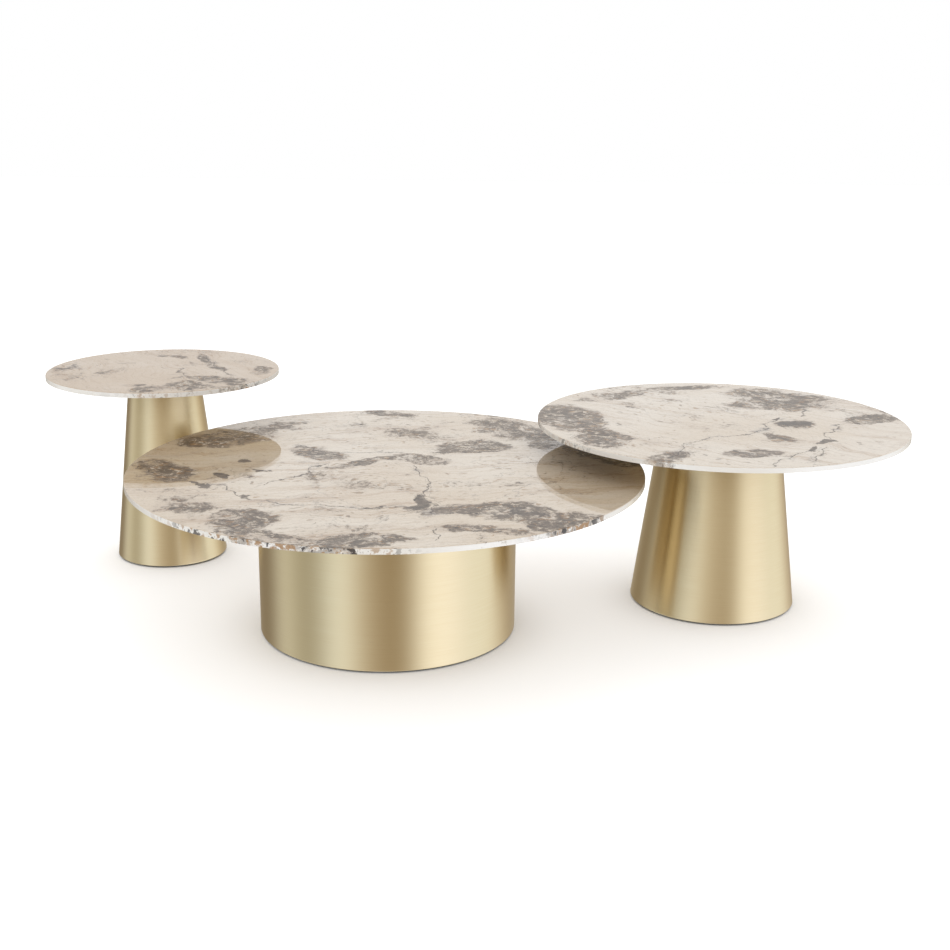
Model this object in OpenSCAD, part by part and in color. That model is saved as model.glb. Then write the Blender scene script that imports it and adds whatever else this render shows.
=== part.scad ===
// Three round nesting tables: stone tops on brushed brass pedestals.
// Millimetres, +Z up, floor at z = 0. The origin is the centre of the set's footprint.

/* [Low table] */
// Diameter of the low table's stone top
low_top_d = 984; // [800:2:1250]
// Height of its top face above the floor
low_h = 320; // [240:5:400]
// Outside diameter of its pedestal at the foot
low_foot_d = 498; // [400:1:600]
// Outside diameter of its pedestal just under the stone
low_neck_d = 498; // [400:1:600]
// Thickness of its steel base plate
low_base_t = 8; // [5:1:12]
// Bolts that hold its stone
low_bolts = 6; // [4:1:8]

/* [Middle table] */
// Diameter of the middle table's stone top
mid_top_d = 740; // [600:10:900]
// Outside diameter of its pedestal at the foot
mid_foot_d = 335; // [270:1:400]
// Outside diameter of its pedestal just under the stone
mid_neck_d = 242; // [200:1:300]
// Thickness of its steel base plate
mid_base_t = 10; // [5:1:14]
// Bolts that hold its stone
mid_bolts = 4; // [3:1:6]

/* [Tall table] */
// Diameter of the tall table's stone top
tall_top_d = 500; // [400:10:620]
// Outside diameter of its pedestal at the foot
tall_foot_d = 240; // [195:1:300]
// Outside diameter of its pedestal just under the stone
tall_neck_d = 155; // [125:1:200]
// Thickness of its steel base plate
tall_base_t = 12; // [6:1:16]
// Bolts that hold its stone
tall_bolts = 3; // [3:1:4]

/* [Nesting] */
// Clear height between the low top and the middle table's stone
mid_clear = 40; // [20:1:80]
// Clear height between the low top and the tall table's stone
tall_clear = 80; // [40:1:140]
// Distance from the low top's rim to the middle table's pedestal
mid_rim_gap = 65; // [10:1:120]
// Distance from the low top's rim to the tall table's pedestal
tall_rim_gap = 93; // [10:1:120]
// Direction of the middle table, anticlockwise from +X, in degrees
mid_bearing = 14.1; // [0:0.1:60]
// Direction of the tall table, anticlockwise from +X, in degrees
tall_bearing = 140.3; // [120:0.1:180]

/* [Stone] */
// Thickness of the slabs
slab_t = 20; // [16:1:30]
// Height of the upright edge that is seen
edge_h = 10; // [6:1:14]
// Radius of the eased upper edge
arris_r = 2; // [1:0.5:5]
// How far the undercut below the edge runs inward
undercut = 50; // [4:1:60]
// Thickness of the silicone pads under the stone
pad_t = 2; // [1:0.5:4]
// Diameter of the silicone pads
pad_d = 22; // [10:1:26]

/* [Pedestal] */
// Thickness of the rolled sheet
sheet_t = 2.5; // [1.5:0.5:4]
// Bevel on the sheet's outer edge at the foot
lip_bevel = 1.5; // [0.5:0.1:2]
// Thickness of the plate inside the neck
top_plate_t = 6; // [4:1:10]
// Width of the ring inside the foot
base_ring_w = 22; // [16:1:30]
// Thickness of the ring inside the foot
base_ring_t = 6; // [4:1:10]
// Shadow gap between the sheet and the floor
floor_gap = 4; // [2:0.5:10]
// Height of the base plate above the sheet's lower edge
base_recess = 3; // [2:0.5:10]
// Clearance around the base plate
base_fit = 0.5; // [0.2:0.1:2]

/* [Fasteners] */
// Diameter of the stone bolts
bolt_d = 8; // [6:1:8]
// Diameter over the stone inserts
insert_d = 12; // [11:0.5:14]
// Length of the stone inserts
insert_l = 13; // [8:1:13]
// Thickness of a bolt's washer
washer_t = 1.6; // [1:0.2:3]
// Diameter of a bolt's washer
washer_d = 22; // [16:1:24]
// Distance from the neck's sheet to the bolts' centres
bolt_inset = 24; // [18:1:40]
// Diameter of the base screws
screw_d = 6; // [4:1:6]
// Base screws in each base plate
screw_count = 6; // [4:1:8]

/* [Levelling feet] */
// Diameter of a foot's threaded stem
stem_d = 8; // [6:1:8]
// Length of the stem above the base plate
stem_proud = 16; // [12:1:30]
// Diameter of a foot's pad
foot_pad_d = 34; // [26:1:36]
// Distance from the sheet at the foot to a foot's centre
foot_inset = 44; // [40:1:60]
// Gap between a fully raised pad and the base plate
pad_stop_gap = 0.5; // [0.3:0.1:2]
// Radial running clearance in a threaded fit or a swivel
run_gap = 0.05; // [0.02:0.01:0.1]

/* [Hidden] */
$fn = 96;

LOW = 0;
MID = 1;
TALL = 2;

// Height of each table's top face
top_h = [low_h, low_h + mid_clear + slab_t, low_h + tall_clear + slab_t];
top_r = [low_top_d / 2, mid_top_d / 2, tall_top_d / 2];
foot_r = [low_foot_d / 2, mid_foot_d / 2, tall_foot_d / 2];
neck_r = [low_neck_d / 2, mid_neck_d / 2, tall_neck_d / 2];
base_t = [low_base_t, mid_base_t, tall_base_t];
// Levelling feet under each table: NODES names each one
feet = [4, 3, 3];
bolts = [low_bolts, mid_bolts, tall_bolts];

function slab_z(t) = top_h[t] - slab_t;
function neck_z(t) = slab_z(t) - pad_t;

// Outside and inside radius of a pedestal at height z
function sheet_r(t, z) =
    foot_r[t] + (neck_r[t] - foot_r[t]) * (z - floor_gap) / (neck_z(t) - floor_gap);
function inner_r(t, z) = sheet_r(t, z) - sheet_t;

// Distance of a table's centre from the low table's centre
function reach(t, gap) = top_r[LOW] + gap + sheet_r(t, slab_z(LOW));
mid_reach = reach(MID, mid_rim_gap);
tall_reach = reach(TALL, tall_rim_gap);
centres = [
    [0, 0],
    mid_reach * [cos(mid_bearing), sin(mid_bearing)],
    tall_reach * [cos(tall_bearing), sin(tall_bearing)],
];
set_low = [for (k = [0, 1]) min([for (t = [LOW, MID, TALL]) centres[t][k] - top_r[t]])];
set_high = [for (k = [0, 1]) max([for (t = [LOW, MID, TALL]) centres[t][k] + top_r[t]])];
set_centre = (set_low + set_high) / 2;

// Heights inside the foot
plate_z = floor_gap + base_recess;
function ring_z(t) = plate_z + base_t[t];
// The base plate passes the narrowest sheet over its own thickness
function plate_r(t) = min(inner_r(t, plate_z), inner_r(t, ring_z(t))) - base_fit;
function screw_ring_r(t) = inner_r(t, ring_z(t)) - base_ring_w / 2;
function feet_ring_r(t) = foot_r[t] - foot_inset;
// Base screws sit midway between the feet's directions wherever they fall
screw_turn = 180 / screw_count;

// Stone fastening
function bolt_ring_r(t) = neck_r[t] - bolt_inset;
insert_z_gap = 0.5;
bolt_hole_gap = 0.5;
bolt_engage = insert_l - 3;
bolt_head_t = bolt_d * 0.65;
bolt_head_af = bolt_d * 1.625;

// Base screws
screw_head_r = screw_d;
screw_head_t = screw_d / 2;
screw_hole_gap = 0.3;
screw_socket_af = screw_d * 0.66;

// Foot pieces, from the floor up
pad_h = plate_z - pad_stop_gap;
head_t = 2;
head_r = stem_d * 0.9;
head_z = 1.8;
key_af = stem_d / 2;
key_depth = 1.2;
pad_bevel = 1;
bush_r = stem_d / 2 + 3;
bush_flange_r = bush_r + 3;
bush_flange_t = 2;

// Puts a table's pieces at that table's place in the set
module at(t) {
    translate([centres[t][0] - set_centre[0], centres[t][1] - set_centre[1], 0])
        rotate(atan2(centres[t][1], centres[t][0]))
            children();
}

// Copies round the table's axis
module ring_of(count, r, turn = 0) {
    for (i = [0 : count - 1])
        rotate(turn + i * 360 / count) translate([r, 0, 0]) children();
}

module foot_place(t, i) {
    at(t) rotate(180 / feet[t] + (i - 1) * 360 / feet[t])
        translate([feet_ring_r(t), 0, 0]) children();
}

// Half section of a slab: eased upper edge, upright band, undercut to the underside
module slab_section(t) {
    r = top_r[t];
    z = top_h[t];
    arc = [for (a = [90 : -15 : 0]) [r - arris_r + arris_r * cos(a), z - arris_r + arris_r * sin(a)]];
    polygon(concat(
        [[0, slab_z(t)], [0, z]],
        arc,
        [[r, z - edge_h], [r - undercut, slab_z(t)]]
    ));
}

module stone_top(t) {
    color("wheat") at(t) difference() {
        rotate_extrude() slab_section(t);
        ring_of(bolts[t], bolt_ring_r(t))
            translate([0, 0, slab_z(t) - 1]) cylinder(h = insert_l + insert_z_gap + 1, d = insert_d);
    }
}

module stone_inserts(t) {
    color("goldenrod") at(t) ring_of(bolts[t], bolt_ring_r(t))
        translate([0, 0, slab_z(t)]) difference() {
            cylinder(h = insert_l, d = insert_d);
            translate([0, 0, -1]) cylinder(h = bolt_engage + 2, d = bolt_d + 2 * run_gap);
        }
}

// Pads lie midway between the bolts
module stone_pads(t) {
    color("gainsboro") at(t) ring_of(bolts[t], bolt_ring_r(t), 180 / bolts[t])
        translate([0, 0, neck_z(t)]) cylinder(h = pad_t, d = pad_d);
}

module stone_bolts(t) {
    under = neck_z(t) - top_plate_t - washer_t;
    color("silver") at(t) ring_of(bolts[t], bolt_ring_r(t)) {
        translate([0, 0, under])
            cylinder(h = slab_z(t) + bolt_engage - under, d = bolt_d);
        translate([0, 0, under - bolt_head_t])
            cylinder(h = bolt_head_t, r = bolt_head_af / 2 / cos(30), $fn = 6);
    }
}

module bolt_washers(t) {
    color("silver") at(t) ring_of(bolts[t], bolt_ring_r(t))
        translate([0, 0, neck_z(t) - top_plate_t - washer_t]) difference() {
            cylinder(h = washer_t, d = washer_d);
            translate([0, 0, -1]) cylinder(h = washer_t + 2, d = bolt_d + 2 * run_gap);
        }
}

// Half section of the rolled sheet, with a bevel on its outer lower edge
module shell_section(t) {
    low = floor_gap;
    high = neck_z(t);
    polygon([
        [inner_r(t, low), low],
        [sheet_r(t, low) - lip_bevel, low],
        [sheet_r(t, low + lip_bevel), low + lip_bevel],
        [sheet_r(t, high), high],
        [inner_r(t, high), high],
    ]);
}

module pedestal_shell(t) {
    color("darkkhaki") at(t) rotate_extrude() shell_section(t);
}

module top_plate(t) {
    low = neck_z(t) - top_plate_t;
    color("slategray") at(t) difference() {
        translate([0, 0, low])
            cylinder(h = top_plate_t, r1 = inner_r(t, low), r2 = inner_r(t, neck_z(t)));
        ring_of(bolts[t], bolt_ring_r(t))
            translate([0, 0, low - 1]) cylinder(h = top_plate_t + 2, d = bolt_d + 2 * bolt_hole_gap);
    }
}

module base_ring(t) {
    low = ring_z(t);
    high = low + base_ring_t;
    color("slategray") at(t) difference() {
        translate([0, 0, low])
            cylinder(h = base_ring_t, r1 = inner_r(t, low), r2 = inner_r(t, high));
        translate([0, 0, low - 1])
            cylinder(h = base_ring_t + 2, r = inner_r(t, low) - base_ring_w);
        ring_of(screw_count, screw_ring_r(t), screw_turn)
            translate([0, 0, low - 1]) cylinder(h = base_ring_t + 2, d = screw_d + 2 * run_gap);
    }
}

module base_plate(t) {
    color("dimgray") at(t) difference() {
        translate([0, 0, plate_z]) cylinder(h = base_t[t], r = plate_r(t));
        ring_of(screw_count, screw_ring_r(t), screw_turn) {
            translate([0, 0, plate_z - 1])
                cylinder(h = base_t[t] + 2, d = screw_d + 2 * screw_hole_gap);
            translate([0, 0, plate_z])
                cylinder(h = screw_head_t, r1 = screw_head_r, r2 = screw_d / 2);
        }
        ring_of(feet[t], feet_ring_r(t), 180 / feet[t])
            translate([0, 0, plate_z - 1]) cylinder(h = base_t[t] + 2, r = bush_r);
    }
}

// Countersunk screws, up through the base plate into the base ring
module base_screws(t) {
    color("silver") at(t) ring_of(screw_count, screw_ring_r(t), screw_turn)
        translate([0, 0, plate_z]) difference() {
            union() {
                cylinder(h = screw_head_t, r1 = screw_head_r - screw_hole_gap, r2 = screw_d / 2);
                cylinder(h = base_t[t] + base_ring_t, d = screw_d);
            }
            translate([0, 0, -1])
                cylinder(h = screw_head_t, r = screw_socket_af / 2 / cos(30), $fn = 6);
        }
}

module foot_bushes(t) {
    color("silver") at(t) ring_of(feet[t], feet_ring_r(t), 180 / feet[t])
        translate([0, 0, plate_z]) difference() {
            union() {
                cylinder(h = base_t[t], r = bush_r);
                translate([0, 0, base_t[t]]) cylinder(h = bush_flange_t, r = bush_flange_r);
            }
            translate([0, 0, -1])
                cylinder(h = base_t[t] + bush_flange_t + 2, d = stem_d + 2 * run_gap);
        }
}

// Moulded pad that the stem's head turns in, with a way up for the key
module foot_pad(t, i) {
    color([0.12, 0.12, 0.12]) foot_place(t, i) difference() {
        union() {
            cylinder(h = pad_bevel, r1 = foot_pad_d / 2 - pad_bevel, r2 = foot_pad_d / 2);
            translate([0, 0, pad_bevel]) cylinder(h = pad_h - pad_bevel, d = foot_pad_d);
        }
        translate([0, 0, -1]) cylinder(h = pad_h, r = key_af);
        translate([0, 0, head_z - run_gap])
            cylinder(h = head_t + 2 * run_gap, r = head_r + run_gap);
        translate([0, 0, head_z]) cylinder(h = pad_h, d = stem_d + 2 * run_gap);
    }
}

// Stem with a disc head, and a hexagon socket for the key in the head's underside
module foot_stem(t, i) {
    color("silver") foot_place(t, i) difference() {
        union() {
            translate([0, 0, head_z]) cylinder(h = head_t, r = head_r);
            translate([0, 0, head_z])
                cylinder(h = ring_z(t) + stem_proud - head_z, d = stem_d);
        }
        translate([0, 0, head_z - 1])
            cylinder(h = key_depth + 1, r = key_af / 2 / cos(30), $fn = 6);
    }
}

stone_top(LOW);  // low_stone_top
stone_inserts(LOW);  // low_stone_inserts
stone_pads(LOW);  // low_stone_pads
stone_bolts(LOW);  // low_stone_bolts
bolt_washers(LOW);  // low_bolt_washers
pedestal_shell(LOW);  // low_pedestal_shell
top_plate(LOW);  // low_top_plate
base_ring(LOW);  // low_base_ring
base_plate(LOW);  // low_base_plate
base_screws(LOW);  // low_base_screws
foot_bushes(LOW);  // low_foot_bushes
foot_pad(LOW, 1);  // low_foot_pad_1
foot_pad(LOW, 2);  // low_foot_pad_2
foot_pad(LOW, 3);  // low_foot_pad_3
foot_pad(LOW, 4);  // low_foot_pad_4
foot_stem(LOW, 1);  // low_foot_stem_1
foot_stem(LOW, 2);  // low_foot_stem_2
foot_stem(LOW, 3);  // low_foot_stem_3
foot_stem(LOW, 4);  // low_foot_stem_4
stone_top(MID);  // mid_stone_top
stone_inserts(MID);  // mid_stone_inserts
stone_pads(MID);  // mid_stone_pads
stone_bolts(MID);  // mid_stone_bolts
bolt_washers(MID);  // mid_bolt_washers
pedestal_shell(MID);  // mid_pedestal_shell
top_plate(MID);  // mid_top_plate
base_ring(MID);  // mid_base_ring
base_plate(MID);  // mid_base_plate
base_screws(MID);  // mid_base_screws
foot_bushes(MID);  // mid_foot_bushes
foot_pad(MID, 1);  // mid_foot_pad_1
foot_pad(MID, 2);  // mid_foot_pad_2
foot_pad(MID, 3);  // mid_foot_pad_3
foot_stem(MID, 1);  // mid_foot_stem_1
foot_stem(MID, 2);  // mid_foot_stem_2
foot_stem(MID, 3);  // mid_foot_stem_3
stone_top(TALL);  // tall_stone_top
stone_inserts(TALL);  // tall_stone_inserts
stone_pads(TALL);  // tall_stone_pads
stone_bolts(TALL);  // tall_stone_bolts
bolt_washers(TALL);  // tall_bolt_washers
pedestal_shell(TALL);  // tall_pedestal_shell
top_plate(TALL);  // tall_top_plate
base_ring(TALL);  // tall_base_ring
base_plate(TALL);  // tall_base_plate
base_screws(TALL);  // tall_base_screws
foot_bushes(TALL);  // tall_foot_bushes
foot_pad(TALL, 1);  // tall_foot_pad_1
foot_pad(TALL, 2);  // tall_foot_pad_2
foot_pad(TALL, 3);  // tall_foot_pad_3
foot_stem(TALL, 1);  // tall_foot_stem_1
foot_stem(TALL, 2);  // tall_foot_stem_2
foot_stem(TALL, 3);  // tall_foot_stem_3
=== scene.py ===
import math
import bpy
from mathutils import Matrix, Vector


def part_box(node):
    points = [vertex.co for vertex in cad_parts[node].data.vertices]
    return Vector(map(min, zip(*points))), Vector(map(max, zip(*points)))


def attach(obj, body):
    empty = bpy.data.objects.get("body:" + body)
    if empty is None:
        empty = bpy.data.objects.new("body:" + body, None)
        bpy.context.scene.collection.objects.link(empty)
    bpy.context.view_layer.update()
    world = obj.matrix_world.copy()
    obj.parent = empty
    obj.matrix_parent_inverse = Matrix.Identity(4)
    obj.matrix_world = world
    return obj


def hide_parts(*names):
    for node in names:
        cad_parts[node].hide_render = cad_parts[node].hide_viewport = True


bl_info = {
    "name": "Nesting tables",
    "version": (1, 0, 0),
    "blender": (4, 5, 0),
    "location": "3D View > Sidebar > Nesting tables",
    "description": "Stone tops, brushed pedestals, levelling feet and a plain studio for a nest of tables",
    "category": "Object",
}

import bmesh
import bpy
from bpy.props import FloatProperty, FloatVectorProperty, IntProperty, PointerProperty
from mathutils import Matrix, Vector

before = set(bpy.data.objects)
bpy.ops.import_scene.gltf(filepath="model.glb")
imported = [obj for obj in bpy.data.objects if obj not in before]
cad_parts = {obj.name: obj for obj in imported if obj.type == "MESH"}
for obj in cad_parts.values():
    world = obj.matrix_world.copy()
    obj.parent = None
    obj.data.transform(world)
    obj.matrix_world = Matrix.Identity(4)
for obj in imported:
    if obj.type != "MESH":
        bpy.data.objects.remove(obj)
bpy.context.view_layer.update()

TABLES = ("low", "mid", "tall")


# ---------------------------------------------------------------- settings


def colour(name, description, default):
    return FloatVectorProperty(
        name=name, description=description, default=default, subtype="COLOR", min=0, max=1
    )


def length(name, description, default):
    return FloatProperty(
        name=name, description=description, default=default, unit="LENGTH", subtype="DISTANCE", min=0
    )


def share(name, description, default):
    return FloatProperty(
        name=name, description=description, default=default, subtype="FACTOR", min=0, max=1
    )


def angle(name, description, degrees):
    return FloatProperty(
        name=name, description=description, default=math.radians(degrees), unit="ROTATION", subtype="ANGLE"
    )


class StoneSettings(bpy.types.PropertyGroup):
    arris: length("Eased edge", "Radius of the eased upper edge", 0.002)
    edge: length("Upright edge", "Height of the upright band of the edge", 0.010)
    undercut: length("Undercut", "How far the lower edge is cut back", 0.050)
    hole: length("Hole", "Depth of the blind holes for the inserts", 0.0135)
    cream: colour("Cream", "The stone's ground colour", (0.60, 0.472, 0.325))
    pale: colour("Pale quartz", "The lightest quartz in the ground", (0.69, 0.595, 0.475))
    # Ochre also darkens a whole top's ground as painted shade
    ochre: colour("Ochre", "Rusty streaks along the bedding", (0.33, 0.175, 0.062))
    grey: colour("Grey mica", "Granular clouds", (0.200, 0.153, 0.117))
    dark: colour("Dark mica", "The cores of the clouds and the blots", (0.040, 0.031, 0.027))
    backing: colour("Backing", "Resin and mesh on the underside", (0.40, 0.28, 0.09))
    facets: IntProperty(name="Facets", description="Faces round each top", default=288, min=32)


class BrassSettings(bpy.types.PropertyGroup):
    sheet: length("Sheet", "Thickness of the rolled sheet", 0.0025)
    lip: length("Lip", "Bevel on the sheet's lower edge", 0.0015)
    tint: colour("Brass", "Colour of the brushed brass", (0.70, 0.575, 0.355))
    warm: colour("Warm brass", "Colour along the darker brush marks", (0.66, 0.52, 0.30))
    roughness: share("Roughness", "Roughness of the satin finish", 0.30)
    anisotropy: share("Brushing", "How far the brushing spreads a highlight", 0.75)
    facets: IntProperty(name="Facets", description="Faces round each pedestal", default=256, min=32)


class FootSettings(bpy.types.PropertyGroup):
    nylon: colour("Nylon", "Colour of the moulded pads", (0.012, 0.012, 0.013))
    steel: colour("Zinc", "Colour of the plated steel", (0.52, 0.53, 0.55))


class StageSettings(bpy.types.PropertyGroup):
    back: length("Camera distance", "From the low table's centre to the camera, along Y", 2.5433)
    side: length("Camera offset", "From the low table's centre to the camera, along X", 0.1685)
    height: length("Camera height", "Height of the camera above the floor", 1.0113)
    pitch: angle("Pitch", "How far the camera looks down", 15.51)
    roll: angle("Roll", "Tilt of the camera about its own axis", 0.58)
    lens: FloatProperty(name="Lens", description="Focal length in millimetres", default=52.07, min=1)
    sky: FloatProperty(name="Sky", description="Brightness of the overhead light", default=1.0, min=0)
    # The white floor glows: painted light that lifts the shadows on it, dimmed near each foot into a painted
    # contact shadow
    lift: FloatProperty(name="Lift", description="Light that the white floor gives back", default=0.50, min=0)
    floor: length("Floor", "Half the width of the floor", 14.0)
    # Reach of the painted contact shadow round each foot
    painted_shadow_reach: length("Contact shade", "How far from a foot the floor is shaded", 0.16)


# ---------------------------------------------------------------- shader wires


class Wire:
    """An output socket that arithmetic works on: each operation adds its Math node."""

    def __init__(self, recipe, socket):
        self.recipe = recipe
        self.socket = socket

    def maths(self, operation, *others):
        inputs = dict(enumerate((self, *others)))
        return self.recipe.node("ShaderNodeMath", {"operation": operation}, inputs)

    def __add__(self, other):
        return self.maths("ADD", other)

    def __sub__(self, other):
        return self.maths("SUBTRACT", other)

    def __rsub__(self, other):
        return self.recipe.node("ShaderNodeMath", {"operation": "SUBTRACT"}, {0: other, 1: self})

    def __mul__(self, other):
        return self.maths("MULTIPLY", other)

    __radd__ = __add__
    __rmul__ = __mul__

    def most(self, other):
        return self.maths("MAXIMUM", other)

    def least(self, other):
        return self.maths("MINIMUM", other)

    def size(self):
        return self.maths("ABSOLUTE")

    def step(self, low, high):
        """0 below low and 1 above high, with a smooth rise between them."""
        return self.recipe.node(
            "ShaderNodeMapRange",
            {"interpolation_type": "SMOOTHSTEP"},
            {"Value": self, "From Min": low, "From Max": high},
        )

    def part(self, index):
        """One coordinate of a vector."""
        return self.recipe.node("ShaderNodeSeparateXYZ", {}, {0: self}, out=index)

    def moved(self, other):
        return self.recipe.node("ShaderNodeVectorMath", {"operation": "ADD"}, {0: self, 1: other})

    def scaled(self, factor):
        return self.recipe.node(
            "ShaderNodeVectorMath", {"operation": "SCALE"}, {0: self, "Scale": factor}
        )

    def far(self):
        return self.recipe.node("ShaderNodeVectorMath", {"operation": "LENGTH"}, {0: self}, out=1)

    def placed(self, where=(0, 0, 0), turn=0.0, scale=(1, 1, 1)):
        """The point as seen from a frame at where, turned by turn about Z and scaled."""
        return self.recipe.node(
            "ShaderNodeMapping",
            {"vector_type": "TEXTURE"},
            {"Vector": self, "Location": where, "Rotation": (0, 0, turn), "Scale": scale},
        )

    def noise(self, scale, detail=4, rough=0.55, out=0):
        inputs = {"Vector": self, "Scale": scale, "Detail": detail, "Roughness": rough}
        return self.recipe.node("ShaderNodeTexNoise", {"noise_dimensions": "3D"}, inputs, out=out)

    def wander(self, scale, detail, rough, reach):
        """A random shift of up to about half of reach each way."""
        return self.noise(scale, detail, rough, out=1).moved((-0.5, -0.5, -0.5)).scaled(reach)

    def cells(self, scale, feature="F1", out=0):
        inputs = {"Vector": self, "Scale": scale}
        return self.recipe.node("ShaderNodeTexVoronoi", {"feature": feature}, inputs, out=out)


class Recipe:
    """A node tree under construction: every node comes from one method."""

    def __init__(self, tree):
        self.tree = tree
        self.tree.nodes.clear()

    def node(self, kind, settings=None, inputs=None, out=0):
        made = self.tree.nodes.new(kind)
        for name, value in (settings or {}).items():
            if name == "stops":
                fill_ramp(made.color_ramp, value)
            elif name == "spread":
                made.color_ramp.interpolation = value
            else:
                setattr(made, name, value)
        for key, value in (inputs or {}).items():
            self.feed(made.inputs[key], value)
        return Wire(self, made.outputs[out]) if made.outputs else None

    def feed(self, socket, value):
        if isinstance(value, Wire):
            self.tree.links.new(value.socket, socket)
        elif hasattr(value, "__len__") and len(value) == 3 and len(socket.default_value) == 4:
            socket.default_value = (*value, 1.0)
        else:
            socket.default_value = value

    def blend(self, factor, first, second):
        """Colour first where factor is 0 and second where it is 1."""
        inputs = {0: factor, 6: first, 7: second}
        return self.node("ShaderNodeMix", {"data_type": "RGBA"}, inputs, out=2)

    def bearing(self, across, ahead):
        """The angle whose tangent is across over ahead, in radians."""
        return self.node("ShaderNodeMath", {"operation": "ARCTAN2"}, {0: across, 1: ahead})

    def bump(self, strength, distance, height):
        inputs = {"Strength": strength, "Distance": distance, "Height": height}
        return self.node("ShaderNodeBump", {}, inputs)

    def place(self):
        """The point in the object's own frame."""
        return self.node("ShaderNodeTexCoord", out=3)

    def finish(self, settings):
        shader = self.node("ShaderNodeBsdfPrincipled", {}, settings)
        self.node("ShaderNodeOutputMaterial", {}, {0: shader})


def fill_ramp(ramp, stops):
    while len(ramp.elements) < len(stops):
        ramp.elements.new(1.0)
    for element, (position, value) in zip(ramp.elements, stops):
        element.position = position
        element.color = (*value, 1.0)


def new_material(name):
    material = bpy.data.materials.new(name)
    material.use_nodes = True
    return material, Recipe(material.node_tree)


# ---------------------------------------------------------------- stone

# What shows on each top, in shares of its radius from its centre. bedding is the direction of the
# streaks in degrees, then the share of ochre laid over the whole ground as painted shade, which darkens
# a top against the pale reflection of its polish, and gloss the share of the polish.
# clouds and blots are (x, y, half length, half width, turn in degrees, strength); cracks are runs
# of points.
LOW_STONE = {
    "bedding": 12,
    "painted_shade": 0.0,
    "gloss": 1.0,
    "clouds": (
        (0.52, 0.62, 0.30, 0.20, -35, 0.9),
        (0.36, 0.34, 0.16, 0.15, 20, 1.1),
        (0.70, 0.40, 0.18, 0.22, 0, 0.8),
        (-0.30, 0.20, 0.17, 0.11, -50, 1.0),
        (-0.10, 0.04, 0.24, 0.05, 28, 0.9),
        (0.14, 0.12, 0.15, 0.09, -20, 1.0),
        (0.46, -0.58, 0.26, 0.11, -8, 1.1),
        (0.68, -0.68, 0.24, 0.13, -20, 1.0),
        (0.40, -0.78, 0.20, 0.06, -12, 0.9),
        (-0.44, -0.70, 0.15, 0.14, -40, 1.1),
        (-0.34, -0.86, 0.26, 0.10, -20, 0.95),
        (-0.68, -0.56, 0.20, 0.12, -45, 0.5),
        (-0.70, 0.46, 0.26, 0.16, 30, 1.0),
        (-0.54, 0.62, 0.22, 0.08, 40, 0.7),
        (0.00, -0.88, 0.20, 0.09, 0, 1.0),
        (-0.14, -0.96, 0.24, 0.07, 0, 1.1),
        (0.88, 0.22, 0.14, 0.26, 30, 0.9),
        (-0.86, -0.08, 0.13, 0.22, 20, 0.8),
        (-0.05, 0.92, 0.16, 0.06, -30, 0.8),
        (-0.55, -0.62, 0.46, 0.20, -40, 0.10),
        (-0.05, -0.76, 0.56, 0.16, 0, 0.10),
        (0.55, -0.70, 0.50, 0.22, -20, 0.08),
    ),
    "blots": (
        (0.16, -0.46, 0.045, 0.11, 8, 1.0),
        (-0.56, 0.06, 0.025, 0.05, 30, 0.9),
        (-0.64, -0.14, 0.03, 0.07, 40, 0.9),
        (-0.45, -0.10, 0.05, 0.025, -20, 0.7),
        (-0.72, -0.26, 0.10, 0.025, -35, 0.8),
        (-0.50, -0.40, 0.025, 0.05, 30, 0.7),
        (0.00, -0.52, 0.06, 0.02, 10, 0.7),
        (0.52, -0.60, 0.12, 0.05, -10, 0.6),
    ),
    "cracks": (
        ((0.13, 0.02), (0.18, -0.22), (0.17, -0.36), (0.22, -0.60)),
        ((-0.62, -0.28), (-0.48, -0.44), (-0.30, -0.52), (-0.02, -0.54), (0.12, -0.52)),
        ((-0.28, 0.02), (-0.32, -0.16), (-0.42, -0.26)),
        ((-0.38, 0.34), (-0.30, 0.22), (-0.10, 0.20), (0.10, 0.20)),
        ((0.22, -0.60), (0.42, -0.62)),
        ((-0.98, -0.06), (-0.78, -0.22), (-0.62, -0.28)),
        ((0.24, -0.76), (0.24, -0.90)),
    ),
}
MID_STONE = {
    "bedding": -38,
    "painted_shade": 0.0,
    "gloss": 1.0,
    "clouds": (
        (0.42, 0.54, 0.46, 0.32, -35, 1.0),
        (0.22, 0.40, 0.16, 0.14, 0, 0.9),
        (-0.84, -0.02, 0.20, 0.44, 12, 1.0),
        (-0.70, -0.44, 0.20, 0.22, 12, 1.0),
        (-0.10, 0.84, 0.36, 0.09, 8, 0.9),
        (-0.48, 0.66, 0.34, 0.14, 36, 0.6),
        (0.84, 0.06, 0.20, 0.10, 30, 0.9),
        (0.42, -0.10, 0.17, 0.10, 25, 0.6),
        (0.04, -0.72, 0.18, 0.08, 30, 1.0),
        (-0.38, -0.80, 0.16, 0.12, 20, 1.0),
        (0.24, -0.36, 0.12, 0.06, -60, 0.6),
    ),
    "blots": (
        (0.46, -0.48, 0.12, 0.045, 28, 1.1),
        (0.32, -0.62, 0.08, 0.035, 50, 1.0),
        (0.32, 0.02, 0.04, 0.025, 40, 0.8),
        (0.42, -0.09, 0.13, 0.08, 25, 0.35),
    ),
    "cracks": (
        ((-0.38, -0.80), (-0.12, -0.44), (0.10, -0.30), (0.34, 0.02)),
        ((0.66, -0.08), (0.56, -0.30), (0.52, -0.42)),
        ((0.40, -0.60), (0.30, -0.84)),
        ((0.06, -0.98), (0.22, -0.72), (0.34, -0.60)),
        ((0.50, 0.30), (0.48, 0.06)),
    ),
}
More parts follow.
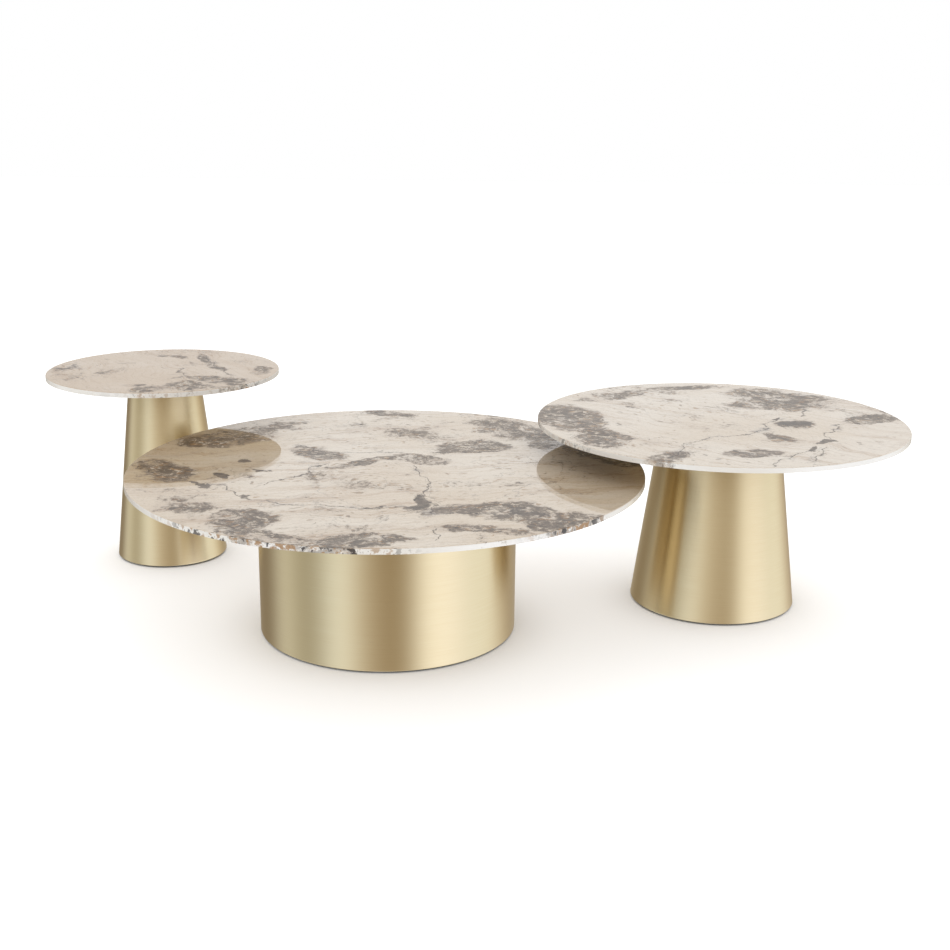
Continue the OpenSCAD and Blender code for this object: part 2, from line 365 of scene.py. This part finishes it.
TALL_STONE = {
    "bedding": -62,
    # Painted shade: this top's whole ground is darkened and warmed towards ochre
    "painted_shade": 0.36,
    "gloss": 0.65,
    "clouds": (
        (0.62, -0.46, 0.42, 0.18, -20, 1.0),
        (0.34, -0.72, 0.28, 0.20, 10, 1.0),
        (0.06, -0.84, 0.20, 0.12, 10, 1.1),
        (-0.10, -0.70, 0.14, 0.07, 0, 0.9),
        (0.30, 0.50, 0.28, 0.11, -62, 0.9),
        (0.42, 0.14, 0.26, 0.08, -62, 0.9),
        (0.88, 0.00, 0.14, 0.26, 0, 0.9),
        (-0.08, 0.60, 0.18, 0.06, -20, 0.8),
        (0.55, -0.62, 0.60, 0.34, -20, 0.12),
        (-0.90, -0.06, 0.10, 0.06, 0, 0.9),
    ),
    "blots": (
        (-0.44, 0.24, 0.10, 0.022, -10, 0.8),
        (0.16, -0.10, 0.022, 0.12, 22, 0.8),
        (-0.64, 0.44, 0.05, 0.022, -40, 0.7),
    ),
    "cracks": (
        ((0.24, 0.70), (0.42, 0.20), (0.60, -0.24)),
        ((0.10, 0.06), (0.22, -0.30)),
        ((-0.92, 0.16), (-0.80, -0.08)),
        ((-0.94, -0.02), (-0.72, -0.06)),
    ),
}


# Length and width in metres of the streaks and flecks that lie along the bedding
BROAD_STREAK = (0.42, 0.045)
FINE_STREAK = (0.11, 0.0055)
FLECK = (0.016, 0.0062)
# How far the bedding sways, and how far an outline is frayed, in metres
SWAY = 0.13
JAG = 0.032
# What sets each top's random pattern apart from the one before
SEED_STEP = 3.7
FRESH_QUARTZ = (0.76, 0.73, 0.68)


def cloud_field(point, radius, clouds):
    """Greatest strength of any cloud at the point, falling to 0 at each cloud's edge."""
    field = None
    for x, y, half_length, half_width, turn, strength in clouds:
        middle = (x * radius, y * radius, 0)
        reach = (half_length * radius, half_width * radius, 1)
        local = point.placed(middle, math.radians(turn), reach)
        near = (1.0 - local.far()) * strength
        field = near if field is None else field.most(near)
    return field


def crack_distance(point, radius, cracks):
    """Distance in metres to the nearest crack."""
    nearest = None
    for run in cracks:
        for start, end in zip(run, run[1:]):
            a = Vector((*start, 0)) * radius
            along = Vector((*end, 0)) * radius - a
            local = point.placed(a, math.atan2(along.y, along.x))
            over = (local.part(0) - along.length / 2).size() - along.length / 2
            gap = local.part(1).size().most(over)
            nearest = gap if nearest is None else nearest.least(gap)
    return nearest


def stone_material(table, stone, centre, top, radius, look):
    """Cream quartzite: bedding streaks, granular clouds, dark blots and thin cracks, polished."""
    material, mix = new_material(table + "_polished_stone")
    seed = SEED_STEP * (TABLES.index(table) + 1)
    flat = mix.place().placed((centre.x, centre.y, top))
    point = flat.moved((0, 0, seed))
    bent = flat.moved(point.wander(5.5, 4, 0.6, SWAY))
    ragged = bent.moved(point.wander(30.0, 5, 0.7, JAG))
    veined = ragged.moved((0, 0, seed))

    bedding = math.radians(look["bedding"])
    drawn = lambda size: bent.placed((0, 0, -seed), bedding, (*size, 1))
    region = point.noise(4.2, 2)
    tone = veined.noise(3.2, 5).step(0.36, 0.66)
    broad = drawn(BROAD_STREAK).noise(1.0, 6, 0.6)
    fine = drawn(FINE_STREAK).noise(1.0, 4, 0.6)
    grit = point.noise(240.0, 3, 0.8)
    crumbs = point.noise(110.0, 4, 0.7)
    clumps = (veined.noise(13.0, 12, 0.80) - 0.5) * 3.2
    crystals = (veined.noise(58.0, 5, 0.75) - 0.5) * 3.0 + 0.5

    # Quartz ground, with rusty streaks and thin seams along the bedding
    ground = mix.blend(tone, stone.pale, stone.cream)
    ground = mix.blend(broad.step(0.44, 0.66) * 0.5, ground, stone.cream)
    rust = broad.step(0.50, 0.66) * region.step(0.36, 0.58) * (fine.step(0.42, 0.62) * 0.8 + 0.14)
    ground = mix.blend(rust * 0.72, ground, stone.ochre)
    ground = mix.blend(fine.step(0.50, 0.70) * 0.30, ground, stone.ochre)
    seam = (1.0 - (broad - 0.53).size().step(0.001, 0.010)) * clumps.step(-0.2, 0.3)
    ground = mix.blend(seam * 0.55, ground, stone.ochre)
    ground = mix.blend(grit.step(0.50, 0.68) * 0.34, ground, stone.pale)
    ground = mix.blend((1.0 - grit.step(0.32, 0.46)) * 0.26, ground, stone.grey)
    ground = mix.blend(crumbs.step(0.50, 0.72) * 0.20, ground, stone.grey)
    # Painted shade: the whole ground darkened and warmed towards ochre, against the pale reflection of the
    # polish
    ground = mix.blend(look["painted_shade"], ground, stone.ochre)

    # Granular clouds: a lacy edge, dark cores and pale crystals between
    clouds = cloud_field(bent, radius, look["clouds"])
    drift = clouds.most(region.step(0.54, 0.74) * 0.20)
    body = (drift * 1.7).least(0.52)
    cloud = (body + clumps + (crumbs - 0.5) * 1.1).step(0.26, 0.50)
    halo = (body + clumps * 0.7).step(0.0, 0.60)
    stain = (body + broad * 1.5 - 0.75 + clumps * 0.4).step(0.0, 0.6)
    ground = mix.blend(stain * 0.28, ground, stone.ochre)
    core = (crystals + clumps * 0.5 + clouds * 0.30).step(0.30, 1.15)
    mica = mix.blend(core, stone.grey, stone.dark)
    ground = mix.blend(halo * 0.32, ground, stone.grey)
    ground = mix.blend(cloud * 0.80, ground, mica)
    pearl = cloud.most(halo * 0.7) * (1.0 - crystals.step(0.12, 0.40))
    ground = mix.blend(pearl * 0.80, ground, stone.pale)

    # Cracks, blots and flecks
    crack = crack_distance(ragged, radius, look["cracks"])
    hair = veined.cells(6.5, "DISTANCE_TO_EDGE")
    hair_line = (1.0 - hair.step(0.002, 0.008)) * region.step(0.50, 0.56) * 0.45
    fringe = (1.0 - crack.step(0.001, 0.018)) * clumps.step(0.0, 0.3)
    line = 1.0 - crack.step(0.0005, 0.0022)
    blots = cloud_field(ragged, radius, look["blots"])
    blot = (blots + clumps * 0.75).step(0.16, 0.30)
    chips = drawn(FLECK)
    chip = chips.cells(1.0)
    pick = chips.cells(1.0, out=1).part(0)
    busy = halo.most(rust).most(region.step(0.44, 0.62) * 0.6)
    reach = pick.step(0.50, 1.0) * (busy * 0.46 + 0.12)
    fleck = 1.0 - (chip - reach).step(0.0, 0.10)
    fleck_tint = mix.blend(crystals.step(0.2, 0.9), stone.ochre, stone.dark)
    blot_tint = mix.blend(crystals.step(0.1, 0.8) * 0.6, stone.dark, stone.grey)
    ground = mix.blend(fringe * 0.75, ground, stone.grey)
    ground = mix.blend(line.most(hair_line).least(1.0) * 0.85, ground, stone.dark)
    ground = mix.blend(fleck * 0.66, ground, fleck_tint)
    ground = mix.blend(blot * 0.90, ground, blot_tint)

    # The edge shows the stone in the thickness: white quartz with chunks of mica and rust
    facing = mix.node("ShaderNodeNewGeometry", out=1).part(2)
    side = 1.0 - facing.size().step(0.35, 0.95)
    chunk = point.noise(60.0, 3, 0.6)
    laden = (clouds + region * 2.0 - 0.72).step(0.0, 0.6)
    ground = mix.blend(side * (1.0 - cloud * 0.6), ground, FRESH_QUARTZ)
    rusty = side * chunk.step(0.52, 0.60) * laden
    black = side * (1.0 - chunk.step(0.40, 0.46)) * laden
    ground = mix.blend(rusty * 0.85, ground, stone.ochre)
    ground = mix.blend(black * 0.92, ground, stone.dark)

    # The underside is raw, under resin and mesh
    under = 1.0 - facing.step(-0.9, -0.5)
    weave = point.noise(700.0, 1)
    ground = mix.blend(under, ground, mix.blend(weave, stone.backing, stone.grey))

    # The polish lies on the quartz and is weaker over the softer mica
    polished = facing.step(-0.6, -0.3)
    soft = cloud.most(blot).most(fleck * 0.6).most(line).most(rusty).most(black)
    mix.finish(
        {
            "Base Color": ground,
            "Roughness": 0.62 - polished * 0.22,
            "IOR": 1.5,
            "Specular IOR Level": 0.15,
            "Coat Weight": polished * (1.0 - soft * 0.72) * look["gloss"],
            "Coat Roughness": 0.018,
            "Coat IOR": 1.8,
        }
    )
    return material


# ---------------------------------------------------------------- metals and plastics


def brass_material(table, brass, centre):
    """Satin brass, brushed round the pedestal in fine level lines."""
    material, mix = new_material(table + "_brushed_brass")
    point = mix.place().placed((centre.x, centre.y, 0))
    around = mix.bearing(point.part(1), point.part(0))
    level = point.part(2)
    brushed = mix.node("ShaderNodeCombineXYZ", {}, {0: around * 2.2, 1: level * 900.0, 2: 0.0})
    soft = mix.node("ShaderNodeCombineXYZ", {}, {0: around * 1.4, 1: level * 60.0, 2: 4.0})
    scratch = brushed.noise(1.0, 3, 0.7)
    band = soft.noise(1.0, 3, 0.5)
    tint = mix.blend(scratch.step(0.3, 0.7) * 0.5 + band.step(0.35, 0.65) * 0.08, brass.tint, brass.warm)
    bump = mix.bump(0.10, 0.00006, scratch)
    mix.finish(
        {
            "Base Color": tint,
            "Metallic": 1.0,
            "Roughness": scratch * 0.10 + (brass.roughness - 0.05),
            "Anisotropic": brass.anisotropy,
            "Anisotropic Rotation": 0.25,
            "Normal": bump,
        }
    )
    return material


def mottled_material(name, tint, roughness, metallic):
    """Metal or plastic with a faint mottle in its colour and gloss."""
    material, mix = new_material(name)
    mottle = mix.place().noise(180.0, 4, 0.6)
    shade = mix.blend(mottle.step(0.35, 0.7) * 0.3, tint, [c * 0.8 for c in tint])
    bump = mix.bump(0.15, 0.0001, mottle)
    mix.finish(
        {
            "Base Color": shade,
            "Metallic": metallic,
            "Roughness": mottle * 0.2 + (roughness - 0.1),
            "Normal": bump,
        }
    )
    return material


def assign(piece, material):
    piece.data.materials.clear()
    piece.data.materials.append(material)


# ---------------------------------------------------------------- shapes


SHARP = math.radians(35)
HOLE_FACETS = 48
# How far a hole's cutter sticks out below the underside, as a share of the hole's depth
OVERSHOOT = 0.2
# Points this close in height are taken as level, in metres
LEVEL = 1e-5


def link(name, mesh, body):
    piece = bpy.data.objects.new(name, mesh)
    bpy.context.scene.collection.objects.link(piece)
    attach(piece, body)
    return piece


def lathe(name, profile, centre, facets, closed=False):
    """A mesh turned about the upright line through centre from (radius, height) points."""
    shape = bmesh.new()
    rings = []
    for radius, height in profile:
        if radius == 0:
            rings.append([shape.verts.new((centre.x, centre.y, height))])
            continue
        angles = [2 * math.pi * k / facets for k in range(facets)]
        rings.append(
            [
                shape.verts.new(
                    (centre.x + radius * math.cos(a), centre.y + radius * math.sin(a), height)
                )
                for a in angles
            ]
        )
    pairs = list(zip(rings, rings[1:]))
    if closed:
        pairs.append((rings[-1], rings[0]))
    for lower, upper in pairs:
        for k in range(facets):
            n = (k + 1) % facets
            corners = [lower[k % len(lower)], lower[n % len(lower)]]
            corners += [upper[n % len(upper)], upper[k % len(upper)]]
            unique = list(dict.fromkeys(corners))
            if len(unique) > 2:
                shape.faces.new(unique)
    bmesh.ops.recalc_face_normals(shape, faces=shape.faces)
    mesh = bpy.data.meshes.new(name)
    shape.to_mesh(mesh)
    shape.free()
    mesh.shade_smooth()
    mesh.set_sharp_from_angle(angle=SHARP)
    return mesh


def arc(radius, middle_r, middle_z, start, end, steps=8):
    """Points round a quarter, from angle start to end in degrees."""
    angles = [math.radians(start + (end - start) * k / steps) for k in range(steps + 1)]
    return [(middle_r + radius * math.cos(a), middle_z + radius * math.sin(a)) for a in angles]


def drill(piece, node, depth):
    """Cuts a blind hole up into the piece's underside for each separate solid of a CAD node."""
    shape = bmesh.new()
    shape.from_mesh(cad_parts[node].data)
    left = set(shape.verts)
    base = min(v.co.z for v in left)
    cutter = bmesh.new()
    while left:
        island = [left.pop()]
        for vertex in island:
            for edge in vertex.link_edges:
                other = edge.other_vert(vertex)
                if other in left:
                    left.remove(other)
                    island.append(other)
        xs = [v.co.x for v in island]
        ys = [v.co.y for v in island]
        radius = (max(xs) - min(xs)) / 2
        height = base + depth / 2 - depth * OVERSHOOT / 2
        middle = Vector(((min(xs) + max(xs)) / 2, (min(ys) + max(ys)) / 2, height))
        hole = bmesh.ops.create_cone(
            cutter,
            cap_ends=True,
            segments=HOLE_FACETS,
            radius1=radius,
            radius2=radius,
            depth=depth * (1 + OVERSHOOT),
        )
        bmesh.ops.translate(cutter, verts=hole["verts"], vec=middle)
    tool = bpy.data.objects.new("hole_cutter", bpy.data.meshes.new("hole_cutter"))
    cutter.to_mesh(tool.data)
    cutter.free()
    shape.free()
    bpy.context.scene.collection.objects.link(tool)
    cut = piece.modifiers.new("holes", "BOOLEAN")
    cut.object = tool
    cut.solver = "EXACT"
    bpy.context.view_layer.update()
    done = piece.evaluated_get(bpy.context.evaluated_depsgraph_get())
    mesh = bpy.data.meshes.new_from_object(done)
    piece.modifiers.clear()
    piece.data = mesh
    bpy.data.objects.remove(tool)


def centre_of(node):
    low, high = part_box(node)
    return (low + high) / 2


def radius_of(node):
    low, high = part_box(node)
    return (high.x - low.x) / 2


def radius_at(point, centre):
    return math.hypot(point.x - centre.x, point.y - centre.y)


def sheet_radii(node, centre, low, high, lip):
    """Outside radii of a pedestal at its foot and neck, measured on its CAD node."""
    points = [v.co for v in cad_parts[node].data.vertices]
    neck = max(radius_at(p, centre) for p in points if p.z > high - LEVEL)
    knee = max(radius_at(p, centre) for p in points if p.z < low + 2 * lip)
    slope = (neck - knee) / (high - low - lip)
    return knee - slope * lip, neck


# ---------------------------------------------------------------- operators


class NESTING_OT_stone_tops(bpy.types.Operator):
    """Makes the three polished slabs, each with an eased upper edge and an undercut"""

    bl_idname = "nesting.stone_tops"
    bl_label = "Stone tops"

    looks = {"low": LOW_STONE, "mid": MID_STONE, "tall": TALL_STONE}
    slope_supports = (0.06, 0.94)

    def execute(self, context):
        stone = context.scene.nesting_stone
        for table in TABLES:
            node = table + "_stone_top"
            low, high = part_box(node)
            centre = centre_of(node)
            r = radius_of(node)
            # Points this far either side of each bend keep the shading flat between bends
            support = stone.arris * 0.5
            heel = r - stone.undercut
            slope = Vector((stone.undercut, high.z - stone.edge - low.z))
            profile = [(0, low.z), (heel - support, low.z), (heel, low.z)]
            for part in self.slope_supports:
                profile.append((heel + slope.x * part, low.z + slope.y * part))
            profile += [(r, high.z - stone.edge), (r, high.z - stone.edge + support)]
            profile += [(r, high.z - stone.arris - support)]
            profile += arc(stone.arris, r - stone.arris, high.z - stone.arris, 0, 90)
            profile += [(r - stone.arris - support, high.z), (0, high.z)]
            mesh = lathe(table + "_top", profile, centre, stone.facets)
            piece = link(table + "_top_slab", mesh, table + "_table")
            assign(piece, stone_material(table, stone, centre, high.z, r, self.looks[table]))
            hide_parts(node)
            drill(piece, table + "_stone_inserts", stone.hole)
        return {"FINISHED"}


class NESTING_OT_pedestals(bpy.types.Operator):
    """Makes the three brushed pedestals: a drum and two cones of rolled sheet"""

    bl_idname = "nesting.pedestals"
    bl_label = "Pedestals"

    # Radius of the upper rim's rounding, as a share of the sheet's thickness
    rim_share = 0.35

    def execute(self, context):
        brass = context.scene.nesting_brass
        for table in TABLES:
            node = table + "_pedestal_shell"
            low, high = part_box(node)
            centre = centre_of(node)
            foot_r, neck_r = sheet_radii(node, centre, low.z, high.z, brass.lip)
            lean = (neck_r - foot_r) / (high.z - low.z)
            at = lambda z: foot_r + lean * (z - low.z)
            lip, wall = brass.lip, brass.sheet
            rim = wall * self.rim_share
            outside = arc(lip, at(low.z) - lip, low.z + lip, -90, 0, 6)
            outside += [(at(low.z + 2 * lip), low.z + 2 * lip), (at(high.z - 2 * rim), high.z - 2 * rim)]
            outside += arc(rim, at(high.z) - rim, high.z - rim, 0, 90, 5)
            inside = [(at(high.z) - wall, high.z), (at(low.z) - wall, low.z)]
            mesh = lathe(table + "_shell", outside + inside, centre, brass.facets, closed=True)
            piece = link(table + "_pedestal", mesh, table + "_table")
            assign(piece, brass_material(table, brass, centre))
            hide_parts(node)
        return {"FINISHED"}


class NESTING_OT_feet(bpy.types.Operator):
    """Finishes the levelling feet: plated stems and moulded pads"""

    bl_idname = "nesting.feet"
    bl_label = "Levelling feet"

    def execute(self, context):
        foot = context.scene.nesting_foot
        nylon = mottled_material("moulded_nylon", tuple(foot.nylon), 0.55, 0.0)
        zinc = mottled_material("zinc_plate", tuple(foot.steel), 0.35, 1.0)
        for name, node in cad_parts.items():
            if "_foot_pad_" in name:
                assign(node, nylon)
            if "_foot_stem_" in name:
                assign(node, zinc)
        return {"FINISHED"}


class NESTING_OT_fastenings(bpy.types.Operator):
    """Finishes what holds each table together: plates, rings, bolts, inserts and pads"""

    bl_idname = "nesting.fastenings"
    bl_label = "Plates and fastenings"

    # (material, colour, roughness, metallic, pieces)
    finishes = (
        ("black_steel", (0.035, 0.035, 0.037), 0.55, 0.0, ("top_plate", "base_ring", "base_plate")),
        ("insert_brass", (0.55, 0.40, 0.17), 0.30, 1.0, ("stone_inserts",)),
        ("clear_silicone", (0.70, 0.72, 0.72), 0.40, 0.0, ("stone_pads",)),
    )
    plated = ("stone_bolts", "bolt_washers", "base_screws", "foot_bushes")

    def execute(self, context):
        if "zinc_plate" not in bpy.data.materials:
            raise RuntimeError("The levelling feet, which make the zinc plating, come first")
        coats = [(bpy.data.materials["zinc_plate"], self.plated)]
        for name, tint, roughness, metallic, parts in self.finishes:
            coats.append((mottled_material(name, tint, roughness, metallic), parts))
        for material, parts in coats:
            for table in TABLES:
                for part in parts:
                    assign(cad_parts[table + "_" + part], material)
        return {"FINISHED"}


class NESTING_OT_stage(bpy.types.Operator):
    """Sets up the floor, the soft studio light and the camera"""

    bl_idname = "nesting.stage"
    bl_label = "Studio"

    # Light round the room: (direction in degrees, from the camera's side towards +X; colour)
    room = (
        (-180, (0.56, 0.52, 0.44)),
        (-150, (0.30, 0.25, 0.18)),
        (-120, (0.26, 0.22, 0.17)),
        (-100, (1.00, 1.08, 1.15)),
        (-80, (0.46, 0.46, 0.42)),
        (-60, (0.55, 0.58, 0.58)),
        (-40, (1.35, 1.55, 1.85)),
        (-20, (0.75, 0.72, 0.68)),
        (0, (0.36, 0.28, 0.19)),
        (20, (0.38, 0.31, 0.21)),
        (38, (1.60, 1.72, 1.95)),
        (60, (1.55, 1.65, 1.95)),
        (82, (1.20, 1.32, 1.50)),
        (106, (1.25, 1.36, 1.50)),
        (128, (0.78, 0.72, 0.62)),
        (150, (0.44, 0.38, 0.30)),
        (180, (0.56, 0.52, 0.44)),
    )
    # A ramp holds no colour over 1, so the room is kept at this share and scaled up again
    room_share = 0.5

    def execute(self, context):
        stage = context.scene.nesting_stage
        self.light_room(context.scene, stage)
        self.lay_floor(stage)
        self.set_camera(context.scene, stage)
        context.scene.view_settings.view_transform = "Standard"
        context.scene.view_settings.look = "None"
        return {"FINISHED"}

    def light_room(self, scene, stage):
        scene.world = bpy.data.worlds.new("studio")
        scene.world.use_nodes = True
        mix = Recipe(scene.world.node_tree)
        way = mix.node("ShaderNodeTexCoord", out=0)
        around = mix.bearing(way.part(0), way.part(1) * -1.0)
        held = lambda value: [part * self.room_share for part in value]
        stops = [(angle / 360 + 0.5, held(value)) for angle, value in self.room]
        walls = mix.node(
            "ShaderNodeValToRGB",
            {"stops": stops, "spread": "B_SPLINE"},
            {0: around * (0.5 / math.pi) + 0.5},
        )
        up = way.part(2)
        white = held([stage.sky] * 3)
        light = mix.blend(up.step(0.02, 0.18), walls, white)
        light = mix.blend((up * -1.0).step(0.55, 0.80), light, white)
        # The camera itself sees plain white behind the tables
        seen = mix.node("ShaderNodeLightPath", out=0)
        light = mix.blend(seen, light, held([1.0] * 3))
        glow = mix.node("ShaderNodeBackground", {}, {"Color": light, "Strength": 1 / self.room_share})
        mix.node("ShaderNodeOutputWorld", {}, {0: glow})

    def lay_floor(self, stage):
        half = stage.floor
        corners = [(-half, -half, 0), (half, -half, 0), (half, half, 0), (-half, half, 0)]
        mesh = bpy.data.meshes.new("floor")
        mesh.from_pydata(corners, [], [(0, 1, 2, 3)])
        floor = bpy.data.objects.new("floor", mesh)
        bpy.context.scene.collection.objects.link(floor)
        material, mix = new_material("white_floor")
        # Painted light and shadow: the floor glows, and ambient occlusion dims the glow within reach of each
        # foot into a painted contact shadow
        reach = {"Distance": stage.painted_shadow_reach}
        glow = mix.node("ShaderNodeAmbientOcclusion", {"samples": 8}, reach, out=1).step(0.0, 1.0)
        shade = mix.blend(glow, (0.0, 0.0, 0.0), (1.0, 1.0, 1.0))
        mix.finish(
            {
                "Base Color": (0.80, 0.80, 0.80),
                "Roughness": 0.9,
                "Emission Color": shade,
                "Emission Strength": stage.lift,
            }
        )
        assign(floor, material)
        floor.visible_glossy = False

    def set_camera(self, scene, stage):
        eye = centre_of("low_stone_top") + Vector((stage.side, -stage.back, 0))
        eye.z = stage.height
        camera = bpy.data.objects.new("camera", bpy.data.cameras.new("camera"))
        scene.collection.objects.link(camera)
        tilt = Matrix.Rotation(math.pi / 2 - stage.pitch, 4, "X")
        camera.matrix_world = Matrix.Translation(eye) @ tilt @ Matrix.Rotation(stage.roll, 4, "Z")
        camera.data.sensor_width = 36
        camera.data.lens = stage.lens
        scene.camera = camera


class NESTING_PT_tables(bpy.types.Panel):
    """Lists the steps that make the nest of tables"""

    bl_label = "Nesting tables"
    bl_idname = "NESTING_PT_tables"
    bl_space_type = "VIEW_3D"
    bl_region_type = "UI"
    bl_category = "Nesting tables"

    def draw(self, context):
        for step in STEPS:
            self.layout.operator(step.bl_idname)
        for group in GROUPS:
            settings = getattr(context.scene, group)
            box = self.layout.box()
            for name in settings.__annotations__:
                box.prop(settings, name)


GROUPS = {
    "nesting_stone": StoneSettings,
    "nesting_brass": BrassSettings,
    "nesting_foot": FootSettings,
    "nesting_stage": StageSettings,
}
STEPS = (
    NESTING_OT_stone_tops,
    NESTING_OT_pedestals,
    NESTING_OT_feet,
    NESTING_OT_fastenings,
    NESTING_OT_stage,
)


def register():
    for kind in (*GROUPS.values(), *STEPS, NESTING_PT_tables):
        bpy.utils.register_class(kind)
    for name, kind in GROUPS.items():
        setattr(bpy.types.Scene, name, PointerProperty(type=kind))


def unregister():
    for name in GROUPS:
        delattr(bpy.types.Scene, name)
    for kind in (NESTING_PT_tables, *reversed(STEPS), *GROUPS.values()):
        bpy.utils.unregister_class(kind)


def main():
    register()
    bpy.ops.nesting.stone_tops()
    bpy.ops.nesting.pedestals()
    bpy.ops.nesting.feet()
    bpy.ops.nesting.fastenings()
    bpy.ops.nesting.stage()


if __name__ == "__main__":
    main()
